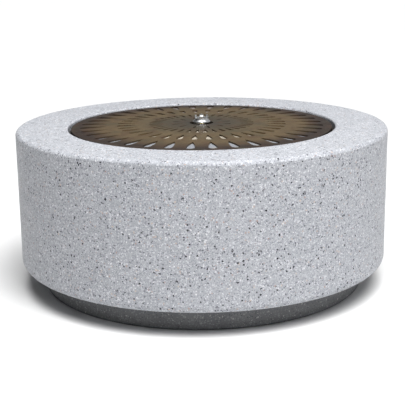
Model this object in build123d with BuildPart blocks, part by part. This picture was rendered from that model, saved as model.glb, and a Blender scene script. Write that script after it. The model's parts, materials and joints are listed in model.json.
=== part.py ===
"""Low round drinking fountain: a precast drum, a lift-off cast grate and a continuous bubbler.

Millimetres, +Z up. The origin is the centre of the plinth's underside, on the floor.
The front faces -Y. Supply pipework stands on the -X side, the waste on the +X side.
"""
from build123d import *

import os
from math import acos, degrees

os.makedirs("parts", exist_ok=True)

# Precast drum: driving dimensions
basin_radius = 610
rim_z = 522
plinth_radius = 535
plinth_height = 74
plinth_void_radius = 250
plinth_chamfer = 5
pad_thickness = 3
basin_floor_z = plinth_height + pad_thickness
basin_floor_thickness = 60
basin_floor_top = basin_floor_z + basin_floor_thickness
wall_thickness = 70
chamber_radius = basin_radius - wall_thickness
floor_opening_radius = 430
rim_edge_radius = 12
foot_edge_radius = 22
mouth_radius = 441
mouth_edge_radius = 7
ledge_radius = 405
ledge_z = 478
haunch_top_z = 440
haunch_foot_z = 395
haunch_chamfer = 6
chamber_fillet = 30
opening_chamfer = 8

# Fixings of the drum
pad_ring_radius = 482
pad_count = 8
pad_width = 50
pad_length = 80
dowel_count = 4
dowel_radius = 10
dowel_hole_radius = 10.5
dowel_depth = 40
dowel_top = 117
dowel_chamfer = 1.5
anchor_ring_radius = 380
anchor_hole_radius = 9
anchor_count = 4
socket_ring_radius = 500
socket_outer_radius = 12
socket_bore_radius = 8
socket_depth = 45
socket_floor = 6
bolt_clearance = 0.5

# Grate seat: gasket, bowl flange, angle frame and pads stacked on the ledge
gasket_top = ledge_z + 3
flange_top = gasket_top + 4
frame_leg_top = flange_top + 5
frame_wall_top = 502
frame_outer_radius = 438
frame_wall_inner_radius = 433
frame_screw_ring = 413
frame_screw_count = 8
frame_screw_radius = 3
frame_screw_head_radius = 6
frame_screw_tip_z = 452
screw_hole_tip = 3
screw_recess_radius = 2.2
screw_recess_depth = 2
gasket_inset = 2
grate_pad_ring = 424
grate_pad_width = 12
grate_pad_length = 30
grate_pad_top = frame_leg_top + 3

# Cast grate, slightly crowned, over a splash mat that lies on a welded spider
grate_radius = 430
grate_hole_radius = 39.5
grate_crown_z = 526
grate_edge_z = 517
grate_thickness = 5
grate_skirt_inner_radius = 421
# Slot rings: inner end, outer end, width at the round end, count
slot_rings = (
    (68, 100, 8, 12),
    (126, 174, 12, 36),
    (214, 281, 20, 36),
    (314, 403, 27, 36),
)
mat_gap = 0.2
mat_thickness = 5
mat_hole_radius = 44
stud_ring_radius = 298
stud_radius = 3
stud_count = 6
stud_foot = 490
stud_top = 519
spider_foot = 493
spider_bar_width = 5
spider_hub_radii = (50, 44)
spider_band_z = 499
spider_band_width = 16
spider_band_thickness = 4

# Catch bowl
bowl_wall_radius = 397
bowl_skin = 4
sump_radius = 200
sump_floor_z = 438
bowl_collar_radius = 30
bowl_collar_top = 452
bowl_knee_z = 458
bowl_shoulder_z = 472
sump_fillet = 8
collar_fillet = 5

# Bubbler, on the drum's axis
shank_radius = 14
shank_bore_radius = 7
shank_foot = 402
shank_top = 512
shank_washer_radius = 26
shank_nut_radius = 24
shank_locknut_height = 10
collar_nut_flange_radius = 27
collar_nut_flange = 3
collar_nut_radius = 23
column_radius = 19
column_foot = 462
column_top = 527
skirt_radius = 29.5
skirt_top = 541
skirt_neck_radius = 22.5
skirt_bore_radius = 15
crown_top = 552
crown_prongs = 4
crown_gap_width = 20
crown_band_height = 2
crown_edge_radius = 2
jet_radius = 8

# Waste, on the +X side
drain_x = 95
drain_flange_radius = 34
drain_sleeve_radius = 23.5
drain_bore_radius = 19
drain_foot = 395
drain_gasket_radius = 37
drain_nut_radius = 36
drain_nut_height = 12
tail_radius = 18.6
tail_skin = 1.6
tail_foot = 245
tail_top = drain_foot + 12
slip_nut_radius = 29
slip_nut_collar = 10
slip_nut_height = 22
grip_radius = 2
grip_count = 12
trap_outlet_z = 314
trap_radius = 33
trap_skin = 3
waste_radius = 19
waste_bore_radius = 17
waste_bend = 40
waste_x = 214

# Supply, on the -X side
supply_x = -150
supply_radius = 11
supply_bore_radius = 9.5
supply_top = 130
socket_gap = 0.05
valve_z = 155
valve_top = 192
valve_radius = 18
valve_end_length = 12
thread_length = 8
ball_radius = 13.9
stem_radius = 5
stem_boss_radius = 9
stem_boss_length = 28
stem_end = 45
handle_y = 34
handle_skin = 3
handle_width = 15
handle_hub_radius = 13
handle_reach = 92
grip_width = 21
grip_length = 60
grip_skin = 2
handle_nut_radius = 8.5
handle_nut_height = 6
nipple_radius = 10.5
nipple_bore_radius = 8
check_foot = 196
check_top = 252
check_bore_radius = 12
guide_thickness = 4
guide_ring_radius = 8
guide_hole_radius = 2.4
poppet_stem_radius = 2.5
poppet_radius = 9.6
poppet_shoulder_radius = 4.5
regulator_foot = 256
regulator_top = 306
regulator_z = 280
riser_radius = 8
riser_bore_radius = 6.5
riser_bend = 30
riser_level = 360

# Service frame
rail_half_length = 330
rail_near_y = 40
rail_far_y = 80
rail_top = plinth_height + 20
rail_skin = 2.5
rail_bolt_x = 300
rail_y = (rail_near_y + rail_far_y) / 2
rail_bolt_radius = 5
rail_washer_radius = 10
rail_washer_thickness = 1.5
rail_head_radius = 9
rail_head_height = 6
rail_bolt_length = 50
stand_bolt_y = rail_y + 6
stand_bolt_radius = 3.8
stand_hole_radius = 4
stand_head_radius = 7
stand_head_height = 5
stand_nut_height = 6
stand_bolt_length = 14
stand_y = 42
stand_skin = 4
stand_width = 36
clamp_height = 12
clamp_skin = 3
clamp_stem_width = 10
clamp_screw_radius = 3
clamp_screw_reach = 10
clamp_head_radius = 6.5
clamp_head_height = 4


def half_profile(corners, centre_x=0.0):
    """Closed half section, given as radius and height about a vertical axis at centre_x."""
    with BuildSketch(Plane.XZ) as profile:
        with BuildLine():
            Polyline([(centre_x + radius, height) for radius, height in corners], close=True)
        make_face()
    return profile.sketch


def axis_at(centre_x):
    """Vertical axis through a point of the X axis."""
    return Axis((centre_x, 0, 0), (0, 0, 1))


def circles_at(piece, radius, height):
    """The circular edges of a piece that have this radius and lie at this height."""
    level = piece.edges().filter_by(GeomType.CIRCLE).filter_by_position(
        Axis.Z, height - 0.01, height + 0.01
    )
    return level.filter_by(lambda edge: abs(edge.radius - radius) < 0.01)


# ---------------------------------------------------------------- precast drum

with BuildPart() as plinth:
    with BuildSketch():
        Circle(plinth_radius)
        Circle(plinth_void_radius, mode=Mode.SUBTRACT)
    extrude(amount=plinth_height)
    chamfer(circles_at(plinth, plinth_radius, 0), plinth_chamfer)
    chamfer(circles_at(plinth, plinth_radius, plinth_height), plinth_chamfer)
    with Locations((0, 0, plinth_height)):
        with PolarLocations(pad_ring_radius, dowel_count):
            Hole(dowel_hole_radius, dowel_depth)
        with PolarLocations(anchor_ring_radius, anchor_count, start_angle=45):
            Hole(anchor_hole_radius)
        with Locations((-rail_bolt_x, rail_y, 0), (rail_bolt_x, rail_y, 0)):
            Hole(rail_bolt_radius + bolt_clearance, dowel_depth)
plinth.part.label = "plinth"
export_step(plinth.part, "parts/plinth.step")

with BuildPart() as bearing_pads:
    with BuildSketch(Plane.XY.offset(plinth_height)):
        with PolarLocations(pad_ring_radius, pad_count, start_angle=22.5):
            Rectangle(pad_width, pad_length)
    extrude(amount=pad_thickness)
bearing_pads.part.label = "bearing_pads"
export_step(bearing_pads.part, "parts/bearing_pads.step")

with BuildPart() as locating_dowels:
    with BuildSketch(Plane.XY.offset(plinth_height - dowel_depth)):
        with PolarLocations(pad_ring_radius, dowel_count):
            Circle(dowel_radius)
    extrude(amount=dowel_top - plinth_height + dowel_depth)
    chamfer(locating_dowels.edges().filter_by(GeomType.CIRCLE), dowel_chamfer)
locating_dowels.part.label = "locating_dowels"
export_step(locating_dowels.part, "parts/locating_dowels.step")

basin_corners = (
    (chamber_radius, basin_floor_z),
    (basin_radius, basin_floor_z),
    (basin_radius, rim_z),
    (mouth_radius, rim_z),
    (mouth_radius, ledge_z),
    (ledge_radius, ledge_z),
    (ledge_radius, haunch_top_z),
    (chamber_radius, haunch_foot_z),
)
with BuildPart() as basin_shell:
    revolve(half_profile(basin_corners), axis=Axis.Z)
    fillet(circles_at(basin_shell, basin_radius, basin_floor_z), foot_edge_radius)
    fillet(circles_at(basin_shell, basin_radius, rim_z), rim_edge_radius)
    fillet(circles_at(basin_shell, mouth_radius, rim_z), mouth_edge_radius)
    fillet(circles_at(basin_shell, chamber_radius, haunch_foot_z), chamber_fillet)
    chamfer(circles_at(basin_shell, ledge_radius, haunch_top_z), haunch_chamfer)
    with Locations((0, 0, ledge_z)):
        with PolarLocations(frame_screw_ring, frame_screw_count, start_angle=22.5):
            Hole(frame_screw_radius, ledge_z - frame_screw_tip_z + screw_hole_tip)
basin_shell.part.label = "basin_shell"
export_step(basin_shell.part, "parts/basin_shell.step")

# The shell is cast upside down, open at the foot; this ring is bonded in and carries it.
with BuildPart() as base_ring:
    with BuildSketch(Plane.XY.offset(basin_floor_z)):
        Circle(chamber_radius)
        Circle(floor_opening_radius, mode=Mode.SUBTRACT)
    extrude(amount=basin_floor_thickness)
    chamfer(circles_at(base_ring, floor_opening_radius, basin_floor_top), opening_chamfer)
    with Locations((0, 0, basin_floor_top)):
        with PolarLocations(pad_ring_radius, dowel_count):
            Hole(dowel_hole_radius, basin_floor_thickness)
        with PolarLocations(socket_ring_radius, dowel_count, start_angle=45):
            Hole(socket_outer_radius, socket_depth)
base_ring.part.label = "base_ring"
export_step(base_ring.part, "parts/base_ring.step")

with BuildPart() as lifting_sockets:
    with BuildSketch(Plane.XY.offset(basin_floor_top - socket_depth)):
        with PolarLocations(socket_ring_radius, dowel_count, start_angle=45):
            Circle(socket_outer_radius)
    extrude(amount=socket_depth)
    with Locations((0, 0, basin_floor_top)):
        with PolarLocations(socket_ring_radius, dowel_count, start_angle=45):
            Hole(socket_bore_radius, socket_depth - socket_floor)
lifting_sockets.part.label = "lifting_sockets"
export_step(lifting_sockets.part, "parts/lifting_sockets.step")

# ---------------------------------------------------------------- bowl and grate seat

with BuildPart() as bowl_gasket:
    with BuildSketch(Plane.XY.offset(ledge_z)):
        Circle(frame_outer_radius)
        Circle(ledge_radius + gasket_inset, mode=Mode.SUBTRACT)
        with PolarLocations(frame_screw_ring, frame_screw_count, start_angle=22.5):
            Circle(frame_screw_radius, mode=Mode.SUBTRACT)
    extrude(amount=gasket_top - ledge_z)
bowl_gasket.part.label = "bowl_gasket"
export_step(bowl_gasket.part, "parts/bowl_gasket.step")

sump_underside = sump_floor_z - bowl_skin
knee_radius = sump_radius + 10
shoulder_radius = bowl_wall_radius - 6
collar_bore_radius = shank_radius + 1
bowl_corners = (
    (frame_outer_radius, flange_top),
    (bowl_wall_radius, flange_top),
    (shoulder_radius, bowl_shoulder_z),
    (knee_radius, bowl_knee_z),
    (sump_radius, sump_floor_z),
    (bowl_collar_radius, sump_floor_z),
    (bowl_collar_radius, bowl_collar_top),
    (collar_bore_radius, bowl_collar_top),
    (collar_bore_radius, sump_underside),
    (sump_radius + bowl_skin - 1, sump_underside),
    (knee_radius + bowl_skin - 1, bowl_knee_z - bowl_skin),
    (shoulder_radius + bowl_skin, bowl_shoulder_z - bowl_skin),
    (bowl_wall_radius + bowl_skin, gasket_top),
    (frame_outer_radius, gasket_top),
)
with BuildPart() as catch_bowl:
    revolve(half_profile(bowl_corners), axis=Axis.Z)
    fillet(circles_at(catch_bowl, sump_radius, sump_floor_z), sump_fillet)
    fillet(circles_at(catch_bowl, bowl_collar_radius, sump_floor_z), collar_fillet)
    fillet(circles_at(catch_bowl, knee_radius, bowl_knee_z), sump_fillet)
    with Locations((drain_x, 0, sump_floor_z)):
        Hole(drain_sleeve_radius + bolt_clearance, 2 * bowl_skin)
    with Locations((0, 0, flange_top)):
        with PolarLocations(frame_screw_ring, frame_screw_count, start_angle=22.5):
            Hole(frame_screw_radius, 2 * bowl_skin)
catch_bowl.part.label = "catch_bowl"
export_step(catch_bowl.part, "parts/catch_bowl.step")

frame_corners = (
    (ledge_radius, flange_top),
    (frame_outer_radius, flange_top),
    (frame_outer_radius, frame_wall_top),
    (frame_wall_inner_radius, frame_wall_top),
    (frame_wall_inner_radius, frame_leg_top),
    (ledge_radius, frame_leg_top),
)
with BuildPart() as grate_frame:
    revolve(half_profile(frame_corners), axis=Axis.Z)
    with Locations((0, 0, frame_leg_top)):
        with PolarLocations(frame_screw_ring, frame_screw_count, start_angle=22.5):
            CounterSinkHole(frame_screw_radius, frame_screw_head_radius)
grate_frame.part.label = "grate_frame"
export_step(grate_frame.part, "parts/grate_frame.step")

screw_head_sink = 0.2
screw_head_top = frame_leg_top - screw_head_sink
screw_corners = (
    (0, frame_screw_tip_z),
    (frame_screw_radius, frame_screw_tip_z),
    (frame_screw_radius, screw_head_top - frame_screw_head_radius + frame_screw_radius),
    (frame_screw_head_radius - screw_head_sink, screw_head_top),
    (screw_recess_radius, screw_head_top),
    (screw_recess_radius, frame_leg_top - screw_recess_depth),
    (0, frame_leg_top - screw_recess_depth),
)
with BuildPart(mode=Mode.PRIVATE) as frame_screw:
    revolve(half_profile(screw_corners), axis=Axis.Z)
with BuildPart() as frame_screws:
    with PolarLocations(frame_screw_ring, frame_screw_count, start_angle=22.5):
        add(frame_screw.part)
frame_screws.part.label = "frame_screws"
export_step(frame_screws.part, "parts/frame_screws.step")

with BuildPart() as grate_pads:
    with BuildSketch(Plane.XY.offset(frame_leg_top)):
        with PolarLocations(grate_pad_ring, frame_screw_count):
            RectangleRounded(grate_pad_width, grate_pad_length, 3)
    extrude(amount=grate_pad_top - frame_leg_top)
grate_pads.part.label = "grate_pads"
export_step(grate_pads.part, "parts/grate_pads.step")

# ---------------------------------------------------------------- grate


crown_drop = grate_crown_z - grate_edge_z
sphere_radius = (grate_radius**2 + crown_drop**2) / (2 * crown_drop)


def crown_arc(inner, outer, depth):
    """Arc of the grate's crown between two radii, so far below its top, centred on the axis."""
    start = degrees(acos(outer / sphere_radius))
    end = degrees(acos(inner / sphere_radius))
    return CenterArc((0, grate_crown_z - depth - sphere_radius), sphere_radius, start, end - start)


def crowned_band(inner, outer, above, below):
    """Half section of a band that follows the grate's crown, so far below its top."""
    with BuildSketch(Plane.XZ) as band:
        with BuildLine():
            top = crown_arc(inner, outer, above)
            foot = crown_arc(inner, outer, below)
            Line(top @ 0, foot @ 0)
            Line(top @ 1, foot @ 1)
        make_face()
    return band.sketch


def slot_outline(inner_end, outer_end, width):
    """One drain slot along +X: pointed at its inner end, with bulging sides and a round outer end."""
    round_centre = outer_end - width / 2
    waist = (inner_end + round_centre) / 2
    with BuildSketch() as slot:
        with BuildLine():
            ThreePointArc((inner_end, 0), (waist, 0.37 * width), (round_centre, width / 2))
            ThreePointArc((round_centre, width / 2), (outer_end, 0), (round_centre, -width / 2))
            ThreePointArc((round_centre, -width / 2), (waist, -0.37 * width), (inner_end, 0))
        make_face()
    return slot.sketch


slot_cutters = [
    extrude(slot_outline(inner_end, outer_end, width), amount=rim_z + 20, mode=Mode.PRIVATE)
    for inner_end, outer_end, width, _ in slot_rings
]
with BuildPart() as grate:
    revolve(crowned_band(grate_hole_radius, grate_radius, 0, grate_thickness), axis=Axis.Z)
    with BuildSketch(Plane.XY.offset(grate_pad_top)):
        Circle(grate_radius)
        Circle(grate_skirt_inner_radius, mode=Mode.SUBTRACT)
    extrude(amount=grate_edge_z - 1 - grate_pad_top)
    with BuildSketch(Plane.XY.offset(stud_foot)):
        with PolarLocations(stud_ring_radius, stud_count):
            Circle(stud_radius)
    extrude(amount=stud_top - stud_foot)
    for cutter, (_, _, _, count) in zip(slot_cutters, slot_rings):
        with PolarLocations(0, count, start_angle=180 / count):
            add(cutter, mode=Mode.SUBTRACT)
grate.part.label = "grate"
export_step(grate.part, "parts/grate.step")

mat_top_depth = grate_thickness + mat_gap
mat_foot_depth = mat_top_depth + mat_thickness
with BuildPart() as splash_mat:
    revolve(
        crowned_band(mat_hole_radius, grate_skirt_inner_radius - 1, mat_top_depth, mat_foot_depth),
        axis=Axis.Z,
    )
    with Locations((0, 0, rim_z)):
        with PolarLocations(stud_ring_radius, stud_count):
            Hole(stud_radius + 0.5)
splash_mat.part.label = "splash_mat"
export_step(splash_mat.part, "parts/splash_mat.step")

bar_inner = spider_hub_radii[1] + 2
bar_outer = grate_skirt_inner_radius - 1
with BuildPart() as grate_spider:
    with BuildSketch(Plane.XY.offset(spider_foot)):
        with PolarLocations(0, 12, start_angle=15):
            with Locations(((bar_inner + bar_outer) / 2, 0)):
                Rectangle(bar_outer - bar_inner, spider_bar_width)
        Circle(spider_hub_radii[0])
        Circle(spider_hub_radii[1], mode=Mode.SUBTRACT)
    extrude(amount=rim_z - spider_foot)
    revolve(
        crowned_band(spider_hub_radii[1] - 2, grate_radius, -20, mat_foot_depth),
        axis=Axis.Z,
        mode=Mode.SUBTRACT,
    )
    with BuildSketch(Plane.XY.offset(spider_band_z)):
        Circle(stud_ring_radius + spider_band_width / 2)
        Circle(stud_ring_radius - spider_band_width / 2, mode=Mode.SUBTRACT)
        with PolarLocations(stud_ring_radius, stud_count):
            Circle(stud_radius + 0.3, mode=Mode.SUBTRACT)
    extrude(amount=spider_band_thickness)
grate_spider.part.label = "grate_spider"
export_step(grate_spider.part, "parts/grate_spider.step")

with BuildPart() as stud_nuts:
    with BuildSketch(Plane.XY.offset(spider_band_z)):
        with PolarLocations(stud_ring_radius, stud_count):
            RegularPolygon(6.2, 6)
            Circle(stud_radius, mode=Mode.SUBTRACT)
    extrude(amount=-5)
stud_nuts.part.label = "stud_nuts"
export_step(stud_nuts.part, "parts/stud_nuts.step")

# ---------------------------------------------------------------- bubbler

with BuildPart() as shank:
    with BuildSketch(Plane.XY.offset(shank_foot)):
        Circle(shank_radius)
        Circle(shank_bore_radius, mode=Mode.SUBTRACT)
    extrude(amount=shank_top - shank_foot)
    chamfer(circles_at(shank, shank_radius, shank_foot), 1)
shank.part.label = "shank"
export_step(shank.part, "parts/shank.step")

washer_thickness = 2
with BuildPart() as shank_washers:
    with BuildSketch(
        Plane.XY.offset(bowl_collar_top), Plane.XY.offset(sump_underside - washer_thickness)
    ):
        Circle(shank_washer_radius)
        Circle(shank_radius + 0.2, mode=Mode.SUBTRACT)
    extrude(amount=washer_thickness)
shank_washers.part.label = "shank_washers"
export_step(shank_washers.part, "parts/shank_washers.step")

with BuildPart() as shank_locknut:
    with BuildSketch(Plane.XY.offset(sump_underside - washer_thickness)):
        RegularPolygon(shank_nut_radius, 6)
        Circle(shank_radius, mode=Mode.SUBTRACT)
    extrude(amount=-shank_locknut_height)
shank_locknut.part.label = "shank_locknut"
export_step(shank_locknut.part, "parts/shank_locknut.step")

collar_nut_foot = bowl_collar_top + washer_thickness
with BuildPart() as shank_collar_nut:
    with BuildSketch(Plane.XY.offset(collar_nut_foot)):
        Circle(collar_nut_flange_radius)
        Circle(shank_radius, mode=Mode.SUBTRACT)
    extrude(amount=collar_nut_flange)
    with BuildSketch(Plane.XY.offset(collar_nut_foot + collar_nut_flange)):
        RegularPolygon(collar_nut_radius, 6)
        Circle(shank_radius, mode=Mode.SUBTRACT)
    extrude(amount=column_foot - collar_nut_foot - collar_nut_flange)
shank_collar_nut.part.label = "shank_collar_nut"
export_step(shank_collar_nut.part, "parts/shank_collar_nut.step")

column_port_radius = jet_radius - 2
column_corners = (
    (shank_radius, column_foot),
    (column_radius, column_foot),
    (column_radius, column_top),
    (column_port_radius, column_top),
    (column_port_radius, shank_top),
    (shank_radius, shank_top),
)
with BuildPart() as bubbler_column:
    revolve(half_profile(column_corners), axis=Axis.Z)
    chamfer(circles_at(bubbler_column, column_radius, column_foot), 1)
bubbler_column.part.label = "bubbler_column"
export_step(bubbler_column.part, "parts/bubbler_column.step")

skirt_lip = 3
skirt_lip_z = column_top + skirt_lip
skirt_shoulder = (skirt_radius - 0.5, skirt_lip_z + 2)
skirt_waist = (skirt_neck_radius + 2.2, skirt_lip_z + 5.4)
with BuildPart() as bubbler_skirt:
    with BuildSketch(Plane.XZ):
        with BuildLine():
            Line((skirt_bore_radius, column_top), (skirt_radius - skirt_lip, column_top))
            Line((skirt_radius - skirt_lip, column_top), (skirt_radius, skirt_lip_z))
            Line((skirt_radius, skirt_lip_z), skirt_shoulder)
            ThreePointArc(skirt_shoulder, skirt_waist, (skirt_neck_radius, skirt_top))
            Line((skirt_neck_radius, skirt_top), (skirt_bore_radius, skirt_top))
            Line((skirt_bore_radius, skirt_top), (skirt_bore_radius, column_top))
        make_face()
    revolve(axis=Axis.Z)
bubbler_skirt.part.label = "bubbler_skirt"
export_step(bubbler_skirt.part, "parts/bubbler_skirt.step")

crown_radius = skirt_neck_radius - 0.3
crown_bore_radius = skirt_bore_radius + 0.5
with BuildPart() as guard_crown:
    with BuildSketch(Plane.XY.offset(skirt_top)):
        Circle(crown_radius)
        Circle(crown_bore_radius, mode=Mode.SUBTRACT)
    extrude(amount=crown_top - skirt_top)
    fillet(circles_at(guard_crown, crown_radius, crown_top), crown_edge_radius)
    with BuildSketch(Plane.XY.offset(skirt_top + crown_band_height)):
        with PolarLocations((crown_radius + crown_bore_radius) / 2, crown_prongs, start_angle=45):
            Rectangle(2 * (crown_radius - crown_bore_radius), crown_gap_width)
    extrude(amount=crown_top - skirt_top, mode=Mode.SUBTRACT)
guard_crown.part.label = "guard_crown"
export_step(guard_crown.part, "parts/guard_crown.step")

jet_top = column_top + 15
jet_shoulder_z = jet_top - 4
jet_mouth_radius = 3.5
jet_throat_radius = 2.2
jet_inlet_radius = 3
jet_corners = (
    (jet_inlet_radius, column_top),
    (jet_radius, column_top),
    (jet_radius, jet_shoulder_z),
    (column_port_radius, jet_top),
    (jet_mouth_radius, jet_top),
    (jet_throat_radius, jet_shoulder_z),
    (jet_throat_radius, column_top + 4),
    (jet_inlet_radius, column_top + 2),
)
with BuildPart() as jet_insert:
    revolve(half_profile(jet_corners), axis=Axis.Z)
jet_insert.part.label = "jet_insert"
export_step(jet_insert.part, "parts/jet_insert.step")

# ---------------------------------------------------------------- waste

drain_lip_z = sump_floor_z + 3
strainer_seat_z = sump_floor_z + 1.5
drain_recess_radius = drain_flange_radius - 4
drain_corners = (
    (drain_bore_radius, drain_foot),
    (drain_sleeve_radius, drain_foot),
    (drain_sleeve_radius, sump_floor_z),
    (drain_flange_radius, sump_floor_z),
    (drain_flange_radius - 1, drain_lip_z),
    (drain_recess_radius, drain_lip_z),
    (drain_recess_radius, strainer_seat_z),
    (drain_bore_radius, strainer_seat_z),
)
with BuildPart() as drain_body:
    revolve(half_profile(drain_corners, drain_x), axis=axis_at(drain_x))
drain_body.part.label = "drain_body"
export_step(drain_body.part, "parts/drain_body.step")

drain_gasket_thickness = 3
with BuildPart() as drain_gasket:
    with BuildSketch(Plane.XY.offset(sump_underside)):
        with Locations((drain_x, 0)):
            Circle(drain_gasket_radius)
            Circle(drain_sleeve_radius + 0.3, mode=Mode.SUBTRACT)
    extrude(amount=-drain_gasket_thickness)
drain_gasket.part.label = "drain_gasket"
export_step(drain_gasket.part, "parts/drain_gasket.step")

with BuildPart() as drain_nut:
    with BuildSketch(Plane.XY.offset(sump_underside - drain_gasket_thickness)):
        with Locations((drain_x, 0)):
            RegularPolygon(drain_nut_radius, 6)
            Circle(drain_sleeve_radius, mode=Mode.SUBTRACT)
    extrude(amount=-drain_nut_height)
drain_nut.part.label = "drain_nut"
export_step(drain_nut.part, "parts/drain_nut.step")

strainer_radius = drain_recess_radius - 0.5
strainer_collar_radius = drain_bore_radius - 1
strainer_collar_bore = strainer_collar_radius - 2
strainer_collar_z = strainer_seat_z - 8
strainer_top = strainer_seat_z + 2
strainer_corners = (
    (0, strainer_seat_z),
    (strainer_collar_bore, strainer_seat_z),
    (strainer_collar_bore, strainer_collar_z),
    (strainer_collar_radius, strainer_collar_z),
    (strainer_collar_radius, strainer_seat_z),
    (strainer_radius, strainer_seat_z),
    (strainer_radius - 1, strainer_top),
    (5, strainer_top),
    (4, strainer_top + 4),
    (6, strainer_top + 7),
    (0, strainer_top + 8),
)
# Rings of holes: ring radius, hole radius, count
strainer_holes = ((9.5, 1.8, 9), (13.5, 1.5, 14))
with BuildPart() as drain_strainer:
    revolve(half_profile(strainer_corners, drain_x), axis=axis_at(drain_x))
    with Locations((drain_x, 0, strainer_top)):
        for ring_radius, hole_radius, hole_count in strainer_holes:
            with PolarLocations(ring_radius, hole_count):
                Hole(hole_radius, strainer_top - strainer_seat_z + 1)
drain_strainer.part.label = "drain_strainer"
export_step(drain_strainer.part, "parts/drain_strainer.step")

slip_washer_z = drain_foot - washer_thickness
with BuildPart() as slip_washer:
    with BuildSketch(Plane.XY.offset(slip_washer_z)):
        with Locations((drain_x, 0)):
            Circle(drain_sleeve_radius - 0.2)
            Circle(tail_radius + 0.1, mode=Mode.SUBTRACT)
    extrude(amount=washer_thickness)
slip_washer.part.label = "slip_washer"
export_step(slip_washer.part, "parts/slip_washer.step")

slip_nut_foot = slip_washer_z - slip_nut_collar
slip_nut_top = slip_nut_foot + slip_nut_height
slip_nut_corners = (
    (tail_radius + 0.2, slip_nut_foot),
    (slip_nut_radius, slip_nut_foot),
    (slip_nut_radius, slip_nut_top),
    (drain_sleeve_radius, slip_nut_top),
    (drain_sleeve_radius, slip_washer_z),
    (tail_radius + 0.2, slip_washer_z),
)
with BuildPart() as trap_inlet_nut:
    revolve(half_profile(slip_nut_corners, drain_x), axis=axis_at(drain_x))
    with BuildSketch(Plane.XY.offset(slip_nut_foot)):
        with Locations((drain_x, 0)):
            with PolarLocations(slip_nut_radius + 1, grip_count):
                Circle(grip_radius)
    extrude(amount=slip_nut_height, mode=Mode.SUBTRACT)
trap_inlet_nut.part.label = "trap_inlet_nut"
export_step(trap_inlet_nut.part, "parts/trap_inlet_nut.step")

with BuildPart() as trap_dip_tube:
    with BuildSketch(Plane.XY.offset(tail_foot)):
        with Locations((drain_x, 0)):
            Circle(tail_radius)
            Circle(tail_radius - tail_skin, mode=Mode.SUBTRACT)
    extrude(amount=tail_top - tail_foot)
trap_dip_tube.part.label = "trap_dip_tube"
export_step(trap_dip_tube.part, "parts/trap_dip_tube.step")

trap_foot = 270
trap_thread_top = 286
trap_shoulder_z = 346
trap_top = 362
trap_bore_radius = trap_radius - trap_skin
trap_barrel_radius = trap_radius + trap_skin
trap_neck_radius = tail_radius + 5
trap_corners = (
    (trap_bore_radius, trap_foot),
    (trap_radius, trap_foot),
    (trap_radius, trap_thread_top),
    (trap_barrel_radius, trap_thread_top),
    (trap_barrel_radius, trap_shoulder_z),
    (trap_neck_radius, trap_shoulder_z + 6),
    (trap_neck_radius, trap_top),
    (tail_radius, trap_top),
    (tail_radius, trap_shoulder_z),
    (trap_bore_radius, trap_shoulder_z - 6),
)
spigot_radius = waste_radius + 4
spigot_start = drain_x + trap_bore_radius - 1
spigot_end = drain_x + 66
with BuildPart() as trap_body:
    revolve(half_profile(trap_corners, drain_x), axis=axis_at(drain_x))
    with BuildSketch(Plane.YZ.offset(spigot_start)):
        with Locations((0, trap_outlet_z)):
            Circle(spigot_radius)
    extrude(amount=spigot_end - spigot_start)
    with BuildSketch(Plane.YZ.offset(drain_x + waste_radius + 2)):
        with Locations((0, trap_outlet_z)):
            Circle(waste_radius)
    extrude(amount=spigot_end, mode=Mode.SUBTRACT)
trap_body.part.label = "trap_body"
export_step(trap_body.part, "parts/trap_body.step")

cup_foot = 205
cup_neck_z = 262
cup_shoulder_z = cup_neck_z + 4
cup_top = 284
cup_rim_radius = trap_radius + 4
cup_thread_radius = trap_radius + 0.3
cup_corners = (
    (0, cup_foot),
    (trap_radius - 6, cup_foot),
    (trap_radius, cup_foot + 6),
    (trap_radius, cup_neck_z),
    (cup_rim_radius, cup_shoulder_z),
    (cup_rim_radius, cup_top),
    (cup_thread_radius, cup_top),
    (cup_thread_radius, cup_shoulder_z + 2),
    (trap_bore_radius, cup_shoulder_z),
    (trap_bore_radius, cup_foot + 8),
    (trap_bore_radius - 4, cup_foot + trap_skin),
    (0, cup_foot + trap_skin),
)
with BuildPart() as trap_cup:
    revolve(half_profile(cup_corners, drain_x), axis=axis_at(drain_x))
    with BuildSketch(Plane.XY.offset(cup_shoulder_z + 1)):
        with Locations((drain_x, 0)):
            with PolarLocations(cup_rim_radius, grip_count):
                Circle(grip_radius)
    extrude(amount=cup_top - cup_shoulder_z - 2)
trap_cup.part.label = "trap_cup"
export_step(trap_cup.part, "parts/trap_cup.step")

outlet_nut_start = spigot_end - slip_nut_height + slip_nut_collar
with BuildPart() as trap_outlet_nut:
    with BuildSketch(Plane.YZ.offset(outlet_nut_start)):
        with Locations((0, trap_outlet_z)):
            Circle(slip_nut_radius)
            with PolarLocations(slip_nut_radius + 1, grip_count):
                Circle(grip_radius, mode=Mode.SUBTRACT)
    extrude(amount=slip_nut_height)
    with BuildSketch(Plane.YZ.offset(outlet_nut_start)):
        with Locations((0, trap_outlet_z)):
            Circle(spigot_radius)
    extrude(amount=spigot_end - outlet_nut_start, mode=Mode.SUBTRACT)
    with BuildSketch(Plane.YZ.offset(spigot_end)):
        with Locations((0, trap_outlet_z)):
            Circle(waste_radius)
    extrude(amount=slip_nut_collar, mode=Mode.SUBTRACT)
trap_outlet_nut.part.label = "trap_outlet_nut"
export_step(trap_outlet_nut.part, "parts/trap_outlet_nut.step")

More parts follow.
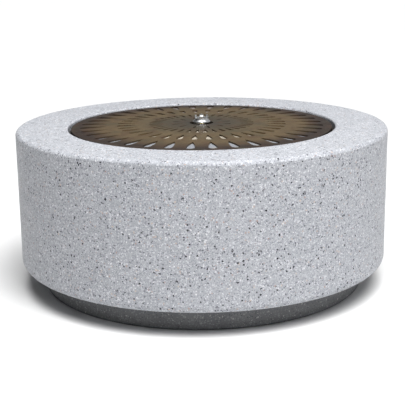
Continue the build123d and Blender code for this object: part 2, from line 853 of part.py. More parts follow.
waste_start = drain_x + 44
with BuildPart() as waste_pipe:
    with BuildLine() as waste_route:
        Line((waste_start, 0, trap_outlet_z), (waste_x - waste_bend, 0, trap_outlet_z))
        TangentArc(
            (waste_x - waste_bend, 0, trap_outlet_z),
            (waste_x, 0, trap_outlet_z - waste_bend),
            tangent=(1, 0, 0),
        )
        Line((waste_x, 0, trap_outlet_z - waste_bend), (waste_x, 0, 0))
    with BuildSketch(Plane.YZ.offset(waste_start)):
        with Locations((0, trap_outlet_z)):
            Circle(waste_radius)
            Circle(waste_bore_radius, mode=Mode.SUBTRACT)
    sweep(path=waste_route.wire())
waste_pipe.part.label = "waste_pipe"
export_step(waste_pipe.part, "parts/waste_pipe.step")

# ---------------------------------------------------------------- supply

with BuildPart() as supply_stub:
    with BuildSketch():
        with Locations((supply_x, 0)):
            Circle(supply_radius)
            Circle(supply_bore_radius, mode=Mode.SUBTRACT)
    extrude(amount=supply_top)
supply_stub.part.label = "supply_stub"
export_step(supply_stub.part, "parts/supply_stub.step")

valve_foot = supply_top - valve_end_length
valve_bore_radius = supply_bore_radius - 1
with BuildPart() as stop_valve_body:
    with BuildSketch(Plane.XY.offset(valve_foot), Plane.XY.offset(valve_top - valve_end_length)):
        with Locations((supply_x, 0)):
            RegularPolygon(valve_radius, 6)
    extrude(amount=valve_end_length)
    with BuildSketch(Plane.XY.offset(supply_top)):
        with Locations((supply_x, 0)):
            Circle(valve_radius)
    extrude(amount=valve_top - valve_end_length - supply_top)
    with BuildSketch(Plane.XZ):
        with Locations((supply_x, valve_z)):
            Circle(stem_boss_radius)
    extrude(amount=stem_boss_length)
    with BuildSketch(Plane.XY.offset(valve_foot)):
        with Locations((supply_x, 0)):
            Circle(supply_radius)
    extrude(amount=valve_end_length, mode=Mode.SUBTRACT)
    with BuildSketch(Plane.XY.offset(valve_top)):
        with Locations((supply_x, 0)):
            Circle(nipple_radius)
    extrude(amount=-thread_length, mode=Mode.SUBTRACT)
    with Locations((supply_x, 0, valve_top)):
        Hole(valve_bore_radius)
    with Locations((supply_x, 0, valve_z)):
        Sphere(ball_radius + socket_gap, mode=Mode.SUBTRACT)
    with BuildSketch(Plane.XZ):
        with Locations((supply_x, valve_z)):
            Circle(stem_radius + socket_gap)
    extrude(amount=stem_boss_length + 2, mode=Mode.SUBTRACT)
stop_valve_body.part.label = "stop_valve_body"
export_step(stop_valve_body.part, "parts/stop_valve_body.step")

with BuildPart() as valve_ball:
    with Locations((supply_x, 0, valve_z)):
        Sphere(ball_radius)
    with BuildSketch(Plane.XZ.offset(valve_bore_radius + 0.5)):
        with Locations((supply_x, valve_z)):
            Circle(stem_radius)
    extrude(amount=stem_end - valve_bore_radius - 0.5)
    with BuildSketch(Plane.XY.offset(valve_z - ball_radius)):
        with Locations((supply_x, 0)):
            Circle(valve_bore_radius)
    extrude(amount=2 * ball_radius, mode=Mode.SUBTRACT)
valve_ball.part.label = "valve_ball"
export_step(valve_ball.part, "parts/valve_ball.step")

with BuildPart() as valve_handle:
    with BuildSketch(Plane.XZ.offset(handle_y)):
        with Locations((supply_x, valve_z)):
            Circle(handle_hub_radius)
        with Locations((supply_x, valve_z + handle_reach / 2)):
            Rectangle(handle_width, handle_reach)
        with Locations((supply_x, valve_z + handle_reach)):
            Circle(handle_width / 2)
        with Locations((supply_x, valve_z)):
            Circle(stem_radius, mode=Mode.SUBTRACT)
    extrude(amount=handle_skin)
valve_handle.part.label = "valve_handle"
export_step(valve_handle.part, "parts/valve_handle.step")

with BuildPart() as handle_grip:
    with BuildSketch(Plane.XZ.offset(handle_y - grip_skin)):
        with Locations((supply_x, valve_z + handle_reach + 8 - grip_length / 2)):
            RectangleRounded(grip_width, grip_length, 8)
    extrude(amount=handle_skin + 2 * grip_skin)
    fillet(handle_grip.edges().group_by(Axis.Y)[0] + handle_grip.edges().group_by(Axis.Y)[-1], 1.5)
    with BuildSketch(Plane.XZ.offset(handle_y)):
        with Locations((supply_x, valve_z + handle_reach / 2)):
            Rectangle(handle_width, handle_reach)
        with Locations((supply_x, valve_z + handle_reach)):
            Circle(handle_width / 2)
    extrude(amount=handle_skin, mode=Mode.SUBTRACT)
handle_grip.part.label = "handle_grip"
export_step(handle_grip.part, "parts/handle_grip.step")

with BuildPart() as handle_nut:
    with BuildSketch(Plane.XZ.offset(handle_y + handle_skin)):
        with Locations((supply_x, valve_z)):
            RegularPolygon(handle_nut_radius, 6)
            Circle(stem_radius, mode=Mode.SUBTRACT)
    extrude(amount=handle_nut_height)
handle_nut.part.label = "handle_nut"
export_step(handle_nut.part, "parts/handle_nut.step")

with BuildPart() as nipples:
    with BuildSketch(
        Plane.XY.offset(valve_top - thread_length), Plane.XY.offset(check_top - thread_length)
    ):
        with Locations((supply_x, 0)):
            Circle(nipple_radius)
            Circle(nipple_bore_radius, mode=Mode.SUBTRACT)
    extrude(amount=check_foot - valve_top + 2 * thread_length)
nipples.part.label = "nipples"
export_step(nipples.part, "parts/nipples.step")

seat_z = check_foot + 2 * thread_length
check_radius = 18.5
check_bevel = 1.75
check_corners = (
    (nipple_radius, check_foot),
    (check_radius - check_bevel, check_foot),
    (check_radius, check_foot + check_bevel),
    (check_radius, check_top - check_bevel),
    (check_radius - check_bevel, check_top),
    (nipple_radius, check_top),
    (nipple_radius, check_top - thread_length),
    (check_bore_radius, check_top - thread_length),
    (check_bore_radius, seat_z),
    (nipple_bore_radius, seat_z),
    (nipple_bore_radius, check_foot + thread_length),
    (nipple_radius, check_foot + thread_length),
)
with BuildPart() as check_valve_body:
    revolve(half_profile(check_corners, supply_x), axis=axis_at(supply_x))
check_valve_body.part.label = "check_valve_body"
export_step(check_valve_body.part, "parts/check_valve_body.step")

guide_z = check_top - thread_length - guide_thickness
with BuildPart() as check_guide:
    with BuildSketch(Plane.XY.offset(guide_z)):
        with Locations((supply_x, 0)):
            Circle(check_bore_radius)
            Circle(poppet_stem_radius + 0.1, mode=Mode.SUBTRACT)
            with PolarLocations(guide_ring_radius, 6):
                Circle(guide_hole_radius, mode=Mode.SUBTRACT)
    extrude(amount=guide_thickness)
check_guide.part.label = "check_guide"
export_step(check_guide.part, "parts/check_guide.step")

poppet_shoulder_z = seat_z + 5
poppet_top = guide_z + guide_thickness + 1
poppet_corners = (
    (0, seat_z),
    (poppet_radius, seat_z),
    (poppet_radius, seat_z + 3),
    (poppet_shoulder_radius, poppet_shoulder_z),
    (poppet_shoulder_radius, poppet_shoulder_z + 2),
    (poppet_stem_radius, poppet_shoulder_z + 2),
    (poppet_stem_radius, poppet_top),
    (0, poppet_top),
)
with BuildPart() as check_poppet:
    revolve(half_profile(poppet_corners, supply_x), axis=axis_at(supply_x))
check_poppet.part.label = "check_poppet"
export_step(check_poppet.part, "parts/check_poppet.step")

spring_wire_radius = 0.6
spring_radius = 5.6
spring_pitch = 4.3
spring_foot = poppet_shoulder_z + 0.8
spring_height = guide_z - spring_foot - 1.4
with BuildPart() as check_spring:
    with BuildLine(Plane((supply_x, 0, spring_foot))) as spring_path:
        Helix(pitch=spring_pitch, height=spring_height, radius=spring_radius)
    with BuildSketch(Plane(spring_path.line @ 0, z_dir=spring_path.line % 0)):
        Circle(spring_wire_radius)
    sweep(path=spring_path.wire(), is_frenet=True)
check_spring.part.label = "check_spring"
export_step(check_spring.part, "parts/check_spring.step")

boss_end = 34
needle_hole_radius = 5.05
with BuildPart() as regulator_body:
    with BuildSketch(Plane.XY.offset(regulator_foot)):
        with Locations((supply_x, 0)):
            RegularPolygon(19, 6)
    extrude(amount=regulator_top - regulator_foot)
    with BuildSketch(Plane.XZ):
        with Locations((supply_x, regulator_z)):
            Circle(11)
    extrude(amount=boss_end)
    with BuildSketch(Plane.XY.offset(regulator_foot)):
        with Locations((supply_x, 0)):
            Circle(nipple_radius)
    extrude(amount=8, mode=Mode.SUBTRACT)
    with BuildSketch(Plane.XY.offset(regulator_top - 8)):
        with Locations((supply_x, 0)):
            Circle(riser_radius)
    extrude(amount=8, mode=Mode.SUBTRACT)
    with Locations((supply_x, 0, regulator_top)):
        Hole(4.5)
    with BuildSketch(Plane.XZ.offset(-5)):
        with Locations((supply_x, regulator_z)):
            Circle(needle_hole_radius)
    extrude(amount=boss_end + 6, mode=Mode.SUBTRACT)
regulator_body.part.label = "regulator_body"
export_step(regulator_body.part, "parts/regulator_body.step")

spindle_radius = 2.5
bonnet_bore_radius = 2.55
with BuildPart() as regulator_bonnet:
    with BuildSketch(Plane.XZ.offset(boss_end - 14)):
        with Locations((supply_x, regulator_z)):
            RegularPolygon(15.5, 6)
    extrude(amount=20)
    with BuildSketch(Plane.XZ.offset(boss_end - 14)):
        with Locations((supply_x, regulator_z)):
            Circle(11)
    extrude(amount=14, mode=Mode.SUBTRACT)
    with BuildSketch(Plane.XZ.offset(boss_end)):
        with Locations((supply_x, regulator_z)):
            Circle(bonnet_bore_radius)
    extrude(amount=6, mode=Mode.SUBTRACT)
regulator_bonnet.part.label = "regulator_bonnet"
export_step(regulator_bonnet.part, "parts/regulator_bonnet.step")

spindle_collar_y = boss_end - 3
with BuildPart() as regulator_knob:
    with BuildSketch(Plane.XZ.offset(boss_end + 7)):
        with Locations((supply_x, regulator_z)):
            Circle(14)
            with PolarLocations(15, 9):
                Circle(2.5, mode=Mode.SUBTRACT)
    extrude(amount=12)
    with BuildSketch(Plane.XZ.offset(10)):
        with Locations((supply_x, regulator_z)):
            Circle(spindle_radius)
    extrude(amount=boss_end - 3)
    with BuildSketch(Plane.XZ.offset(spindle_collar_y)):
        with Locations((supply_x, regulator_z)):
            Circle(4.6)
    extrude(amount=2.7)
regulator_knob.part.label = "regulator_knob"
export_step(regulator_knob.part, "parts/regulator_knob.step")

needle_tip_y = 1
needle_back_y = 26
with BuildPart() as regulator_needle:
    with BuildSketch(Plane.XZ.offset(needle_tip_y + 3)):
        with Locations((supply_x, regulator_z)):
            Circle(needle_hole_radius - socket_gap)
    extrude(amount=needle_back_y - needle_tip_y - 3)
    chamfer(regulator_needle.edges().filter_by(GeomType.CIRCLE).group_by(Axis.Y)[-1], 2)
    with BuildSketch(Plane.XZ.offset(needle_back_y)):
        with Locations((supply_x, regulator_z)):
            Circle(spindle_radius + socket_gap)
    extrude(amount=7 - needle_back_y, mode=Mode.SUBTRACT)
regulator_needle.part.label = "regulator_needle"
export_step(regulator_needle.part, "parts/regulator_needle.step")

with BuildPart() as riser_pipe:
    with BuildLine() as riser_route:
        Line((supply_x, 0, regulator_top - 8), (supply_x, 0, riser_level - riser_bend))
        TangentArc(
            (supply_x, 0, riser_level - riser_bend),
            (supply_x + riser_bend, 0, riser_level),
            tangent=(0, 0, 1),
        )
        Line((supply_x + riser_bend, 0, riser_level), (-riser_bend, 0, riser_level))
        TangentArc(
            (-riser_bend, 0, riser_level), (0, 0, riser_level + riser_bend), tangent=(1, 0, 0)
        )
        Line((0, 0, riser_level + riser_bend), (0, 0, shank_foot))
    with BuildSketch(Plane.XY.offset(regulator_top - 8)):
        with Locations((supply_x, 0)):
            Circle(riser_radius)
            Circle(riser_bore_radius, mode=Mode.SUBTRACT)
    sweep(path=riser_route.wire())
riser_pipe.part.label = "riser_pipe"
export_step(riser_pipe.part, "parts/riser_pipe.step")

union_corners = (
    (riser_radius, shank_foot - 10),
    (19, shank_foot - 10),
    (19, shank_foot + 12),
    (shank_radius, shank_foot + 12),
    (shank_radius, shank_foot),
    (riser_radius, shank_foot),
)
with BuildPart() as riser_union:
    revolve(half_profile(union_corners), axis=Axis.Z)
    with BuildSketch(Plane.XY.offset(shank_foot - 10)):
        RegularPolygon(40, 6)
        RegularPolygon(19.5, 6, mode=Mode.SUBTRACT)
    extrude(amount=22, mode=Mode.SUBTRACT)
riser_union.part.label = "riser_union"
export_step(riser_union.part, "parts/riser_union.step")

# ---------------------------------------------------------------- service frame

with BuildPart() as service_rail:
    with BuildSketch(Plane.YZ.offset(-rail_half_length)):
        with BuildLine():
            Polyline(
                (rail_near_y, plinth_height),
                (rail_near_y, rail_top),
                (rail_far_y, rail_top),
                (rail_far_y, plinth_height),
                (rail_far_y - rail_skin, plinth_height),
                (rail_far_y - rail_skin, rail_top - rail_skin),
                (rail_near_y + rail_skin, rail_top - rail_skin),
                (rail_near_y + rail_skin, plinth_height),
                close=True,
            )
        make_face()
    extrude(amount=2 * rail_half_length)
    with Locations((-rail_bolt_x, rail_y, rail_top), (rail_bolt_x, rail_y, rail_top)):
        Hole(rail_bolt_radius + bolt_clearance)
    with Locations((supply_x, stand_bolt_y, rail_top), (waste_x, stand_bolt_y, rail_top)):
        Hole(stand_hole_radius)
service_rail.part.label = "service_rail"
export_step(service_rail.part, "parts/service_rail.step")

rail_bolt_places = ((-rail_bolt_x, rail_y), (rail_bolt_x, rail_y))
with BuildPart() as rail_bolts:
    with BuildSketch(Plane.XY.offset(rail_top)):
        with Locations(*rail_bolt_places):
            Circle(rail_washer_radius)
    extrude(amount=rail_washer_thickness)
    with BuildSketch(Plane.XY.offset(rail_top)):
        with Locations(*rail_bolt_places):
            RegularPolygon(rail_head_radius, 6)
    extrude(amount=rail_washer_thickness + rail_head_height)
    with BuildSketch(Plane.XY.offset(rail_top)):
        with Locations(*rail_bolt_places):
            Circle(rail_bolt_radius)
    extrude(amount=-rail_bolt_length)
rail_bolts.part.label = "rail_bolts"
export_step(rail_bolts.part, "parts/rail_bolts.step")

# Each stand: place, top, feet of its lower and upper clamp
stands = (
    (supply_x, 345, supply_top - 26, riser_level - 42),
    (waste_x, 240, 170, 216),
)
with BuildPart() as service_stands:
    for stand_x, stand_top, low_clamp_z, high_clamp_z in stands:
        with BuildSketch(Plane.YZ.offset(stand_x - stand_width / 2)):
            with BuildLine():
                Polyline(
                    (stand_y, rail_top),
                    (stand_y, stand_top),
                    (stand_y + stand_skin, stand_top),
                    (stand_y + stand_skin, rail_top + stand_skin),
                    (rail_far_y - 2, rail_top + stand_skin),
                    (rail_far_y - 2, rail_top),
                    close=True,
                )
            make_face()
        extrude(amount=stand_width)
        with Locations((stand_x, stand_bolt_y, rail_top + stand_skin)):
            Hole(stand_hole_radius, 2 * stand_skin)
        low_screw_z = low_clamp_z + clamp_height / 2
        high_screw_z = high_clamp_z + clamp_height / 2
        with BuildSketch(Plane.XZ.offset(-stand_y - stand_skin)):
            with Locations((stand_x, low_screw_z), (stand_x, high_screw_z)):
                Circle(clamp_screw_radius + 0.2)
        extrude(amount=stand_skin, mode=Mode.SUBTRACT)
service_stands.part.label = "service_stands"
export_step(service_stands.part, "parts/service_stands.step")

stand_bolt_places = ((supply_x, stand_bolt_y), (waste_x, stand_bolt_y))
with BuildPart() as stand_bolts:
    with BuildSketch(Plane.XY.offset(rail_top + stand_skin)):
        with Locations(*stand_bolt_places):
            RegularPolygon(stand_head_radius, 6)
    extrude(amount=stand_head_height)
    with BuildSketch(Plane.XY.offset(rail_top + stand_skin)):
        with Locations(*stand_bolt_places):
            Circle(stand_bolt_radius)
    extrude(amount=-stand_bolt_length)
stand_bolts.part.label = "stand_bolts"
export_step(stand_bolts.part, "parts/stand_bolts.step")

with BuildPart() as stand_nuts:
    with BuildSketch(Plane.XY.offset(rail_top - rail_skin)):
        with Locations(*stand_bolt_places):
            RegularPolygon(stand_head_radius, 6)
            Circle(stand_bolt_radius, mode=Mode.SUBTRACT)
    extrude(amount=-stand_nut_height)
stand_nuts.part.label = "stand_nuts"
export_step(stand_nuts.part, "parts/stand_nuts.step")

# Each clamp: place, foot of the band, radius of the pipe it holds
clamps = (
    (supply_x, stands[0][2], supply_radius),
    (supply_x, stands[0][3], riser_radius),
    (waste_x, stands[1][2], waste_radius),
    (waste_x, stands[1][3], waste_radius),
)
with BuildPart() as pipe_clamps:
    for clamp_x, clamp_z, held_radius in clamps:
        with BuildSketch(Plane.XY.offset(clamp_z)):
            with Locations((clamp_x, 0)):
                Circle(held_radius + clamp_skin)
            with Locations((clamp_x, (held_radius + stand_y) / 2)):
                Rectangle(clamp_stem_width, stand_y - held_radius)
            with Locations((clamp_x, 0)):
                Circle(held_radius, mode=Mode.SUBTRACT)
        extrude(amount=clamp_height)
        with BuildSketch(Plane.XZ.offset(-stand_y)):
            with Locations((clamp_x, clamp_z + clamp_height / 2)):
                Circle(clamp_screw_radius)
        extrude(amount=clamp_screw_reach + 2, mode=Mode.SUBTRACT)
pipe_clamps.part.label = "pipe_clamps"
export_step(pipe_clamps.part, "parts/pipe_clamps.step")

clamp_screw_places = [(clamp_x, clamp_z + clamp_height / 2) for clamp_x, clamp_z, _ in clamps]
with BuildPart() as clamp_screws:
    with BuildSketch(Plane.XZ.offset(-stand_y - stand_skin)):
        with Locations(*clamp_screw_places):
            Circle(clamp_screw_radius)
    extrude(amount=stand_skin + clamp_screw_reach)
    with BuildSketch(Plane.XZ.offset(-stand_y - stand_skin)):
        with Locations(*clamp_screw_places):
            RegularPolygon(clamp_head_radius, 6)
    extrude(amount=-clamp_head_height)
clamp_screws.part.label = "clamp_screws"
export_step(clamp_screws.part, "parts/clamp_screws.step")
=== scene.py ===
"""Low round drinking fountain: looks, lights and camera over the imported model.

Metres, +Z up, front -Y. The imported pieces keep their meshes; this gives them materials.
"""

import json
from math import cos, pi, radians, sin

import bpy
from mathutils import Matrix, Vector


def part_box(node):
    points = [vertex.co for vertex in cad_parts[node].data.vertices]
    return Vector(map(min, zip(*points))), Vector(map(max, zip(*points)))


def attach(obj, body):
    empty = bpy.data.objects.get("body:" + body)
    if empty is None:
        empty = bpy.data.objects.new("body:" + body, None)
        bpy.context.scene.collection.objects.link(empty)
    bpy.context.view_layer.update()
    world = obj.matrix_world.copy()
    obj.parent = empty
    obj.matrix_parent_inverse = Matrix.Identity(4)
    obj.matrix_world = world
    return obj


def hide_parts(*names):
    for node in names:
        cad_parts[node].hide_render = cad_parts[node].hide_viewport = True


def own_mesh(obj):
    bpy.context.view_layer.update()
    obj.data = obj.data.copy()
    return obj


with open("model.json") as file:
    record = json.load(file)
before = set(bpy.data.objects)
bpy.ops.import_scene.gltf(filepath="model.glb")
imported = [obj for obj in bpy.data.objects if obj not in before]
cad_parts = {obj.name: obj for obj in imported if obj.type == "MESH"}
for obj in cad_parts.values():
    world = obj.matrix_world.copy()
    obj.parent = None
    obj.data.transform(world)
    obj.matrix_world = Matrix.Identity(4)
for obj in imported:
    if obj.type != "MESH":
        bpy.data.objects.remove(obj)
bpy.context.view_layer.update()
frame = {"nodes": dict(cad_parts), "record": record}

drum_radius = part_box("basin_shell")[1][0]
grate_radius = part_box("grate")[1][0]


# ---------------------------------------------------------------- shader building


class Shader:
    """A procedural material: one Principled surface and the nodes that feed it."""

    def __init__(self, name, **surface):
        self.material = bpy.data.materials.new(name)
        self.material.use_nodes = True
        self.nodes = self.material.node_tree.nodes
        self.links = self.material.node_tree.links
        self.surface = self.nodes["Principled BSDF"]
        for key, value in surface.items():
            self.surface.inputs[key.replace("_", " ")].default_value = value
        self.place = self.nodes.new("ShaderNodeTexCoord").outputs["Object"]

    def feed(self, socket, value):
        """Links a socket to another, or sets it."""
        if isinstance(value, bpy.types.NodeSocket):
            self.links.new(value, socket)
        else:
            socket.default_value = value

    def math(self, operation, first, second=0.0, third=0.0, clamp=False):
        made = self.nodes.new("ShaderNodeMath")
        made.operation = operation
        made.use_clamp = clamp
        for socket, value in zip(made.inputs, (first, second, third)):
            self.feed(socket, value)
        return made.outputs[0]

    def mix(self, factor, first, second, blend="MIX"):
        """Two colours, mixed by a factor."""
        made = self.nodes.new("ShaderNodeMix")
        made.data_type = "RGBA"
        made.blend_type = blend
        self.feed(made.inputs[0], factor)
        self.feed(made.inputs[6], first)
        self.feed(made.inputs[7], second)
        return made.outputs[2]

    def span(self, value, low, high, to_low=0.0, to_high=1.0):
        """A value's range, mapped smoothly on to another."""
        made = self.nodes.new("ShaderNodeMapRange")
        made.interpolation_type = "SMOOTHSTEP"
        for socket, setting in zip(made.inputs, (value, low, high, to_low, to_high)):
            self.feed(socket, setting)
        return made.outputs[0]

    def ramp(self, value, stops, interpolation="LINEAR"):
        made = self.nodes.new("ShaderNodeValToRGB")
        made.color_ramp.interpolation = interpolation
        while len(made.color_ramp.elements) < len(stops):
            made.color_ramp.elements.new(1.0)
        for element, (position, colour) in zip(made.color_ramp.elements, stops):
            element.position = position
            element.color = (*colour, 1.0)
        self.feed(made.inputs[0], value)
        return made.outputs[0]

    def noise(self, scale, detail=4.0, roughness=0.5, stretch=None):
        """Soft noise, from 0 to 1, at a number of turns per metre."""
        made = self.nodes.new("ShaderNodeTexNoise")
        made.inputs["Scale"].default_value = scale
        made.inputs["Detail"].default_value = detail
        made.inputs["Roughness"].default_value = roughness
        place = self.place
        if stretch:
            mapping = self.nodes.new("ShaderNodeMapping")
            mapping.inputs["Scale"].default_value = stretch
            self.feed(mapping.inputs["Vector"], place)
            place = mapping.outputs[0]
        self.feed(made.inputs["Vector"], place)
        return made.outputs[0]

    def cells(self, scale, feature="F1", shift=0.0):
        """Cells of the given number per metre: a random colour, and the distance to the edge."""
        made = self.nodes.new("ShaderNodeTexVoronoi")
        made.feature = feature
        made.inputs["Scale"].default_value = scale
        mapping = self.nodes.new("ShaderNodeMapping")
        mapping.inputs["Location"].default_value = (shift, shift, shift)
        self.feed(mapping.inputs["Vector"], self.place)
        self.feed(made.inputs["Vector"], mapping.outputs[0])
        return made

    def parts_of(self, colour):
        """The three separate values of a colour."""
        made = self.nodes.new("ShaderNodeSeparateColor")
        self.feed(made.inputs[0], colour)
        return made.outputs

    def radius(self):
        """Distance from the drum's axis, in metres."""
        split = self.nodes.new("ShaderNodeSeparateXYZ")
        self.feed(split.inputs[0], self.place)
        across = self.math("POWER", split.outputs[0], 2.0)
        along = self.math("POWER", split.outputs[1], 2.0)
        return self.math("SQRT", self.math("ADD", across, along))

    def along(self, axis):
        """One coordinate, in metres."""
        split = self.nodes.new("ShaderNodeSeparateXYZ")
        self.feed(split.inputs[0], self.place)
        return split.outputs[axis]

    def colour(self, value):
        self.feed(self.surface.inputs["Base Color"], value)

    def roughness(self, value):
        self.feed(self.surface.inputs["Roughness"], value)

    def bump(self, height, distance, strength=1.0):
        made = self.nodes.new("ShaderNodeBump")
        made.inputs["Distance"].default_value = distance
        made.inputs["Strength"].default_value = strength
        self.feed(made.inputs["Height"], height)
        self.feed(self.surface.inputs["Normal"], made.outputs[0])


# ---------------------------------------------------------------- stone


def stone_chips(shader, ground, scale, shift, share, tints, joint=0.06):
    """Angular chips over a ground colour: the share of cells that hold a chip, and their tints."""
    cell = shader.cells(scale, "F1", shift)
    edge = shader.cells(scale, "DISTANCE_TO_EDGE", shift)
    chance, pick, _ = shader.parts_of(cell.outputs["Color"])
    present = shader.math("LESS_THAN", chance, share)
    inside = shader.span(edge.outputs["Distance"], joint, joint + 0.05)
    mask = shader.math("MULTIPLY", present, inside)
    tint = shader.ramp(pick, tints)
    return shader.mix(mask, ground, tint), mask


def terrazzo():
    """Light cool grey ground terrazzo: fine mixed chips, sparse dark ones and a few warm ones."""
    shader = Shader("terrazzo", IOR=1.4, Specular_IOR_Level=0.12)
    cloud = shader.noise(4.0, detail=3.0)
    ground = shader.ramp(cloud, ((0.3, (0.33, 0.345, 0.375)), (0.7, (0.385, 0.395, 0.425))))
    sand = shader.noise(420.0, detail=2.0)
    grain = shader.ramp(sand, ((0.3, (0.22, 0.23, 0.25)), (0.7, (0.56, 0.57, 0.60))))
    ground = shader.mix(0.5, ground, grain)
    fine_tints = (
        (0.0, (0.23, 0.24, 0.26)),
        (0.45, (0.38, 0.39, 0.42)),
        (1.0, (0.62, 0.63, 0.66)),
    )
    ground, fine = stone_chips(
        shader, ground, scale=300.0, shift=0.0, share=0.62, tints=fine_tints
    )
    pale_tints = (
        (0.0, (0.52, 0.53, 0.56)),
        (1.0, (0.70, 0.70, 0.71)),
    )
    ground, pale = stone_chips(
        shader, ground, scale=230.0, shift=3.1, share=0.08, tints=pale_tints
    )
    warm_tints = (
        (0.0, (0.33, 0.24, 0.23)),
        (1.0, (0.55, 0.47, 0.40)),
    )
    ground, _ = stone_chips(
        shader, ground, scale=210.0, shift=7.7, share=0.025, tints=warm_tints
    )
    grey_tints = (
        (0.0, (0.12, 0.125, 0.14)),
        (1.0, (0.26, 0.26, 0.29)),
    )
    ground, grey = stone_chips(
        shader, ground, scale=215.0, shift=9.3, share=0.09, tints=grey_tints
    )
    dark_tints = (
        (0.0, (0.02, 0.02, 0.025)),
        (1.0, (0.08, 0.08, 0.09)),
    )
    ground, dark = stone_chips(
        shader, ground, scale=185.0, shift=5.4, share=0.03, tints=dark_tints
    )
    shader.colour(ground)
    bright_chips = shader.math("ADD", fine, pale)
    chips = shader.math("ADD", bright_chips, shader.math("ADD", grey, dark), clamp=True)
    smear = shader.noise(14.0, detail=4.0)
    sealed = shader.span(smear, 0.3, 0.7, 0.42, 0.56)
    shader.roughness(shader.math("SUBTRACT", sealed, shader.math("MULTIPLY", chips, 0.12)))
    pits = shader.span(shader.noise(260.0, detail=3.0), 0.25, 0.42)
    relief = shader.math("ADD", pits, shader.math("MULTIPLY", chips, 0.35))
    shader.bump(relief, distance=0.0003, strength=0.4)
    return shader.material


def dark_precast():
    """Dark grey honed precast with fine specks."""
    shader = Shader("dark_precast", IOR=1.5)
    cloud = shader.noise(9.0, detail=4.0)
    ground = shader.ramp(cloud, ((0.3, (0.102, 0.105, 0.11)), (0.7, (0.148, 0.151, 0.155))))
    fine_tints = ((0.0, (0.05, 0.052, 0.055)), (1.0, (0.24, 0.245, 0.25)))
    ground, fine = stone_chips(
        shader, ground, scale=300.0, shift=1.3, share=0.4, tints=fine_tints
    )
    pale_tints = ((0.0, (0.22, 0.22, 0.22)), (1.0, (0.36, 0.35, 0.34)))
    ground, _ = stone_chips(
        shader, ground, scale=220.0, shift=4.6, share=0.04, tints=pale_tints
    )
    shader.colour(ground)
    shader.roughness(shader.span(shader.noise(20.0), 0.3, 0.7, 0.55, 0.75))
    relief = shader.math("ADD", shader.noise(300.0), shader.math("MULTIPLY", fine, 0.3))
    shader.bump(relief, distance=0.0004, strength=0.5)
    return shader.material


# ---------------------------------------------------------------- metals, plastics and rubber


def cast_bronze():
    """Brown patinated cast bronze with a painted sheen: golden half way out, darker at the middle
    and the edge.
    """
    shader = Shader("cast_bronze", Metallic=0.6)
    radius = shader.math("MULTIPLY", shader.radius(), 1.0 / grate_radius)
    cloud = shader.noise(11.0, detail=5.0, roughness=0.6)
    wander = shader.math("ADD", radius, shader.math("MULTIPLY", cloud, 0.16))
    # Painted sheen: the golden browns half way out stand in for the bronze's sheen over the patina;
    # the ramp is also darker towards the middle and the edge.
    skin = shader.ramp(
        wander,
        (
            (0.18, (0.070, 0.062, 0.050)),
            (0.36, (0.105, 0.086, 0.056)),
            (0.56, (0.180, 0.132, 0.070)),
            (0.84, (0.168, 0.118, 0.062)),
            (0.95, (0.088, 0.062, 0.040)),
            (1.0, (0.048, 0.034, 0.028)),
        ),
    )
    fine = shader.noise(90.0, detail=4.0, roughness=0.6)
    stain = shader.span(shader.noise(23.0, detail=4.0, roughness=0.6), 0.46, 0.66, 0.0, 0.5)
    skin = shader.mix(stain, skin, (0.11, 0.058, 0.034, 1.0))
    streaks = shader.noise(17.0, detail=3.0, roughness=0.6, stretch=(1.0, 1.0, 3.0))
    olive = shader.span(streaks, 0.5, 0.7, 0.0, 0.45)
    skin = shader.mix(olive, skin, (0.085, 0.083, 0.052, 1.0))
    skin = shader.mix(shader.math("MULTIPLY", fine, 0.38), skin, (0.04, 0.03, 0.024, 1.0))
    shader.colour(skin)
    shader.roughness(shader.span(shader.math("ADD", cloud, fine), 0.7, 1.3, 0.64, 0.46))
    sand = shader.noise(650.0, detail=3.0)
    shader.bump(shader.math("ADD", sand, fine), distance=0.00035, strength=0.45)
    return shader.material


def drawn_metal(name, colour, dull, rough, stretch, metallic=1.0):
    """Turned, drawn or brushed metal: fine lines one way, with dull and bright patches."""
    shader = Shader(name, Metallic=metallic)
    lines = shader.noise(60.0, detail=3.0, roughness=0.6, stretch=stretch)
    cloud = shader.noise(25.0, detail=4.0)
    patches = shader.span(cloud, 0.35, 0.7, 0.0, 0.6)
    shader.colour(shader.mix(patches, (*colour, 1.0), (*dull, 1.0)))
    wear = shader.math("ADD", lines, cloud)
    shader.roughness(shader.span(wear, 0.6, 1.4, rough - 0.08, rough + 0.1))
    shader.bump(lines, distance=0.00008, strength=0.4)
    return shader.material


def chrome():
    """Polished chrome plate with faint water marks."""
    shader = Shader("chrome", Metallic=1.0)
    marks = shader.noise(110.0, detail=5.0, roughness=0.65)
    shader.colour(shader.ramp(marks, ((0.35, (0.86, 0.87, 0.88)), (0.75, (0.7, 0.71, 0.72)))))
    shader.roughness(shader.span(marks, 0.4, 0.75, 0.3, 0.44))
    shader.bump(marks, distance=0.00005, strength=0.3)
    return shader.material


def moulded(name, colour, shade, rough, grain=320.0, metallic=0.0):
    """Moulded plastic, rubber, paint or gel coat: a fine skin with faint handling marks."""
    shader = Shader(name, Metallic=metallic)
    cloud = shader.noise(18.0, detail=4.0)
    marks = shader.span(cloud, 0.3, 0.75, 0.0, 0.8)
    shader.colour(shader.mix(marks, (*colour, 1.0), (*shade, 1.0)))
    shader.roughness(shader.span(cloud, 0.3, 0.7, rough - 0.05, rough + 0.1))
    shader.bump(shader.noise(grain, detail=2.0), distance=0.0002, strength=0.3)
    return shader.material


